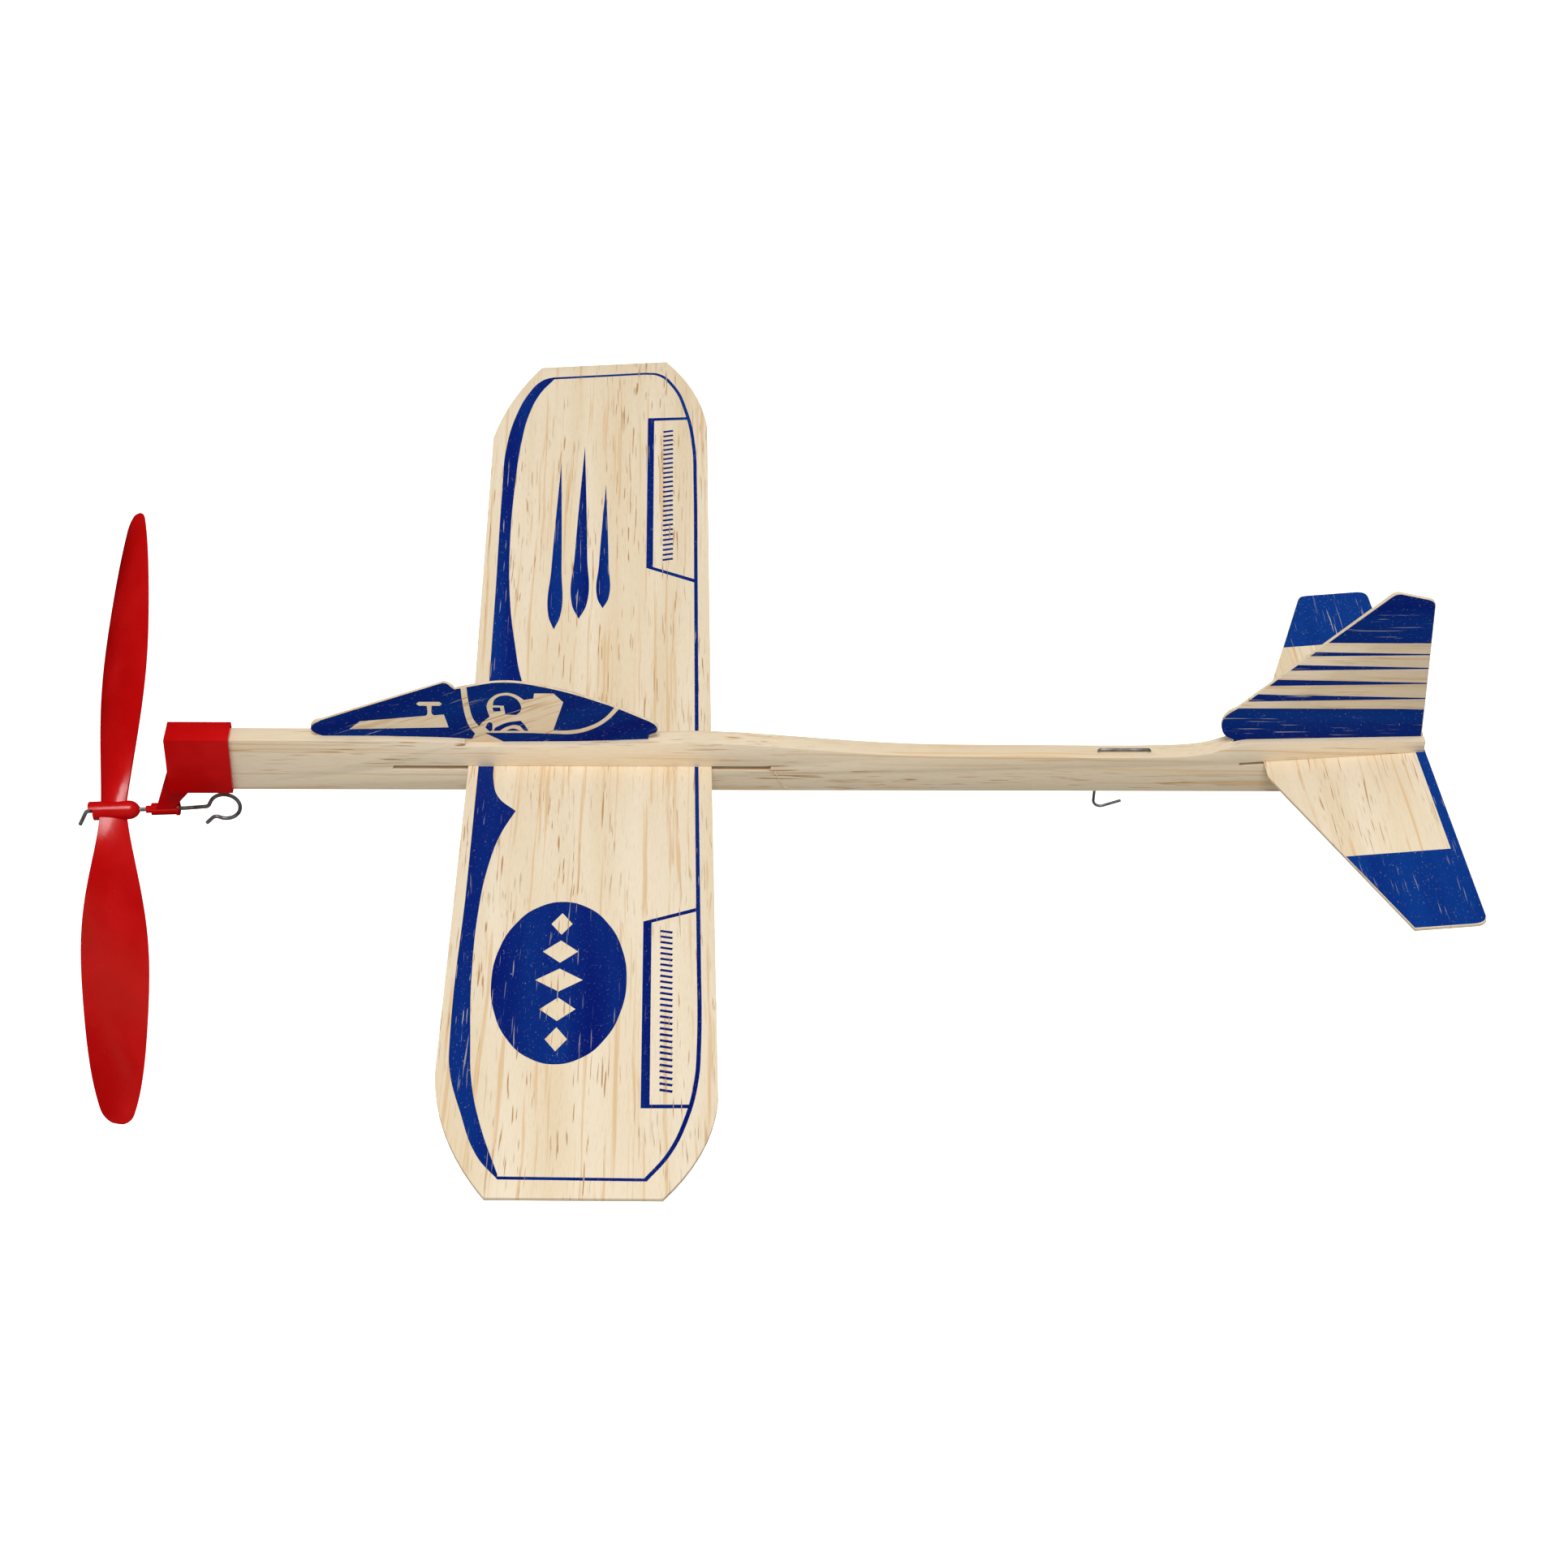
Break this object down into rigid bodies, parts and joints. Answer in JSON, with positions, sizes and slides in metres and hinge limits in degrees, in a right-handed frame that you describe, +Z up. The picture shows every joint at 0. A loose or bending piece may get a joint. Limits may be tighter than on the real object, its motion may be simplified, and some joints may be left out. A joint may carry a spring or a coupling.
{
  "type": "rubber-powered balsa stick model aeroplane",
  "caption": "Flat balsa toy aeroplane on a motor stick, with a sliding sheet wing, sheet tail, nose bearing, freewheeling propeller and wire motor hooks.",
  "frame": {"origin": "on the motor stick's underside, on the centreline, below the middle of the wing, where a hand holds the model", "axes": "+Z up, nose towards -X, starboard wing towards +Y"},
  "size_m": [0.3063, 0.3063, 0.1042],
  "materials": {
    "stick_wood": "bare sanded balsa",
    "sheet_wood": "bare sheet balsa with printed blue decoration",
    "blue_ink": "thin printed ink, satin",
    "red_plastic": "moulded, glossy",
    "steel_wire": "drawn spring wire"
  },
  "bodies": {
    "airframe": {"motor_stick": "stick_wood", "nose_bearing": "red_plastic", "canopy": "sheet_wood", "fin": "sheet_wood", "rear_hook": "steel_wire"},
    "shaft": {"prop_shaft": "steel_wire"},
    "propeller": {"propeller": "red_plastic"},
    "wing": {"wing": "sheet_wood"},
    "tailplane": {"stabilizer": "sheet_wood"}
  },
  "joints": [
    {"name": "shaft_spin", "type": "hinge", "parent": "airframe", "child": "shaft", "pos_m": [-0.0962, 0, -0.00745], "axis": [0.999, 0, 0.0436], "continuous": true},
    {"name": "propeller_freewheel", "type": "hinge", "parent": "shaft", "child": "propeller", "pos_m": [-0.10819, 0, -0.00797], "axis": [0.999, 0, 0.0436], "continuous": true},
    {"name": "wing_trim", "type": "slide", "parent": "airframe", "child": "wing", "axis": [1, 0, 0], "range_m": [-0.0163, 0.0128]},
    {"name": "tail_seat", "type": "slide", "parent": "airframe", "child": "tailplane", "axis": [0.9968, 0, 0.0793], "range_m": [-0.005, 0.003]}
  ]
}
